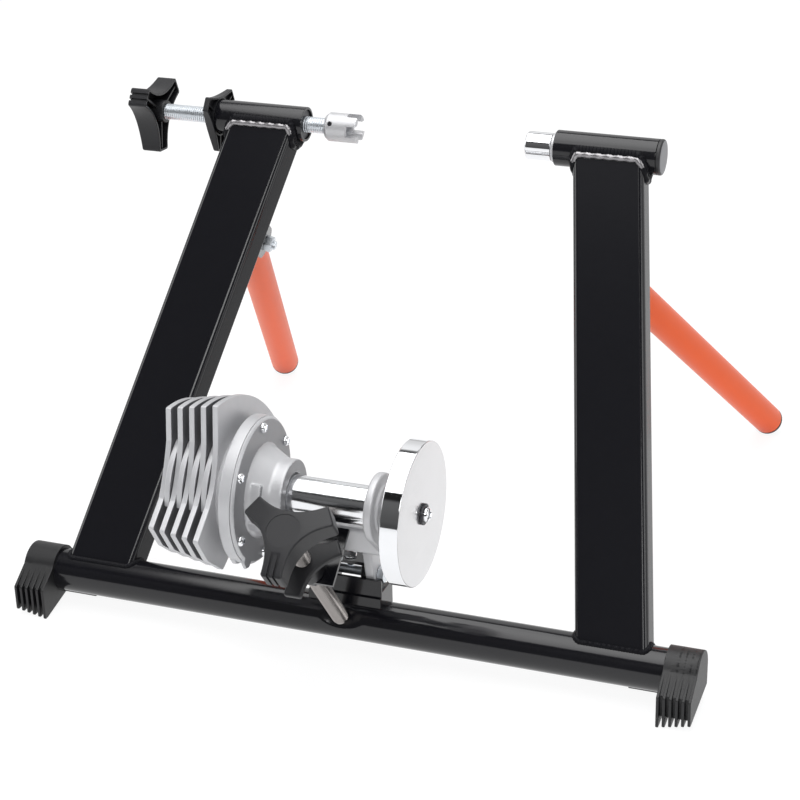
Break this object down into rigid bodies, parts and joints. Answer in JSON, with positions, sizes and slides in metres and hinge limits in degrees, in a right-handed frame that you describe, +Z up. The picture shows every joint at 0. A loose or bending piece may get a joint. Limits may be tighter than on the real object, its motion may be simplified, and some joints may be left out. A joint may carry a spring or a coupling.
{
  "type": "wheel-on turbo trainer",
  "caption": "Folding bicycle trainer: a steel frame that clamps the rear axle and a tilting finned fluid unit with roller and flywheel that presses on the tyre.",
  "frame": {"origin": "on the floor, under the middle of the bounding box", "axes": "+Z up, +Y toward the front of the bicycle, X across the wheel with +X on the flywheel side"},
  "size_m": [0.594, 0.6834, 0.4021],
  "materials": {
    "black_paint": "gloss black powder coat",
    "orange_paint": "satin orange powder coat",
    "cast_aluminium": "satin silver painted die casting",
    "polished_steel": "bright chrome plate",
    "roller_chrome": "ground and plated roller",
    "flywheel_chrome": "turned face and polished rim",
    "satin_steel": "satin turned steel",
    "zinc_plate": "bluish zinc plate",
    "dark_steel": "dark oxide",
    "charcoal_plastic": "fine grained moulding",
    "plug_plastic": "matte moulding",
    "foot_rubber": "matte dark rubber"
  },
  "bodies": {
    "frame": {"base_tube": "black_paint", "foot_left": "foot_rubber", "foot_right": "foot_rubber", "upright_left": "black_paint", "upright_right": "black_paint", "clamp_tube_left": "black_paint", "clamp_bush_outer": "dark_steel", "clamp_bush_inner": "dark_steel", "clamp_tube_right": "black_paint", "fixed_cup": "polished_steel", "cup_collar": "satin_steel", "clamp_end_plug": "plug_plastic", "leg_bracket_left": "black_paint", "leg_bolt_left": "zinc_plate", "leg_nut_left": "zinc_plate", "leg_bracket_right": "black_paint", "leg_bolt_right": "zinc_plate", "leg_nut_right": "zinc_plate", "hinge_bracket": "black_paint", "hinge_bolt": "zinc_plate", "hinge_nut": "zinc_plate", "bracket_screw": "polished_steel"},
    "left_leg": {"leg_left": "orange_paint", "leg_tip_left": "foot_rubber"},
    "right_leg": {"leg_right": "orange_paint", "leg_tip_right": "foot_rubber"},
    "clamp_end": {"notched_cup": "satin_steel", "cup_set_screw": "dark_steel"},
    "clamp_drive": {"clamp_screw": "zinc_plate", "clamp_handle": "charcoal_plastic"},
    "clamp_lock": {"clamp_lock_nut": "charcoal_plastic"},
    "resistance_unit": {"finned_housing": "cast_aluminium", "yoke_casting": "cast_aluminium", "cover_screw_1": "polished_steel", "cover_screw_2": "polished_steel", "cover_screw_3": "polished_steel", "cover_screw_4": "polished_steel", "cover_screw_5": "polished_steel", "cover_screw_6": "polished_steel", "bearing_left": "satin_steel", "bearing_right": "satin_steel", "shaft_seal": "foot_rubber", "tension_arm": "black_paint", "arm_screw": "zinc_plate", "arm_nut": "dark_steel"},
    "rotor": {"roller_shaft": "satin_steel", "roller": "roller_chrome", "impeller": "cast_aluminium", "flywheel_spacer": "satin_steel", "flywheel": "flywheel_chrome", "flywheel_washer": "dark_steel", "flywheel_screw": "polished_steel"},
    "tension_screw": {"tension_bolt": "zinc_plate"},
    "tension_hand_knob": {"tension_knob": "charcoal_plastic"},
    "tension_lock": {"tension_lock_nut": "charcoal_plastic"}
  },
  "joints": [
    {"name": "left_leg_fold", "type": "hinge", "parent": "frame", "child": "left_leg", "pos_m": [-0.17234, 0.0199, 0.27383], "axis": [-0.9592, -0.0911, 0.2677], "range_deg": [0, 80]},
    {"name": "right_leg_fold", "type": "hinge", "parent": "frame", "child": "right_leg", "pos_m": [0.16634, 0.0199, 0.27383], "axis": [-0.9693, 0.0488, -0.2408], "range_deg": [0, 80]},
    {"name": "clamp_travel", "type": "slide", "parent": "frame", "child": "clamp_end", "axis": [1, 0, 0], "range_m": [-0.015, 0.015]},
    {"name": "clamp_spin", "type": "hinge", "parent": "clamp_end", "child": "clamp_drive", "pos_m": [-0.2, 0.047, 0.3742], "axis": [1, 0, 0], "range_deg": [-1803, 1803]},
    {"name": "clamp_lock_spin", "type": "hinge", "parent": "frame", "child": "clamp_lock", "pos_m": [-0.208, 0.047, 0.3742], "axis": [1, 0, 0], "range_deg": [-360, 0]},
    {"name": "unit_tilt", "type": "hinge", "parent": "frame", "child": "resistance_unit", "pos_m": [-0.003, -0.1795, 0.07], "axis": [-1, 0, 0], "range_deg": [-5.1, 10.1]},
    {"name": "rotor_spin", "type": "hinge", "parent": "resistance_unit", "child": "rotor", "pos_m": [-0.003, -0.2375, 0.1643], "axis": [1, 0, 0], "continuous": true},
    {"name": "tension_travel", "type": "slide", "parent": "resistance_unit", "child": "tension_screw", "axis": [0, 0.6225, -0.7826], "range_m": [-0.00348, 0.00696]},
    {"name": "tension_spin", "type": "hinge", "parent": "tension_screw", "child": "tension_hand_knob", "pos_m": [-0.003, -0.20465, 0.0374], "axis": [0, 0.6225, -0.7826], "range_deg": [-717, 1434]},
    {"name": "tension_lock_spin", "type": "hinge", "parent": "resistance_unit", "child": "tension_lock", "pos_m": [-0.003, -0.20465, 0.0374], "axis": [0, 0.6225, -0.7826], "range_deg": [-360, 0]}
  ],
  "couplings": [
    {"joint": "clamp_spin", "follows": "clamp_travel", "rad_per_m": 2094.4},
    {"joint": "tension_spin", "follows": "tension_travel", "rad_per_m": 3590.4},
    {"joint": "unit_tilt", "follows": "tension_travel", "rad_per_m": 25}
  ]
}
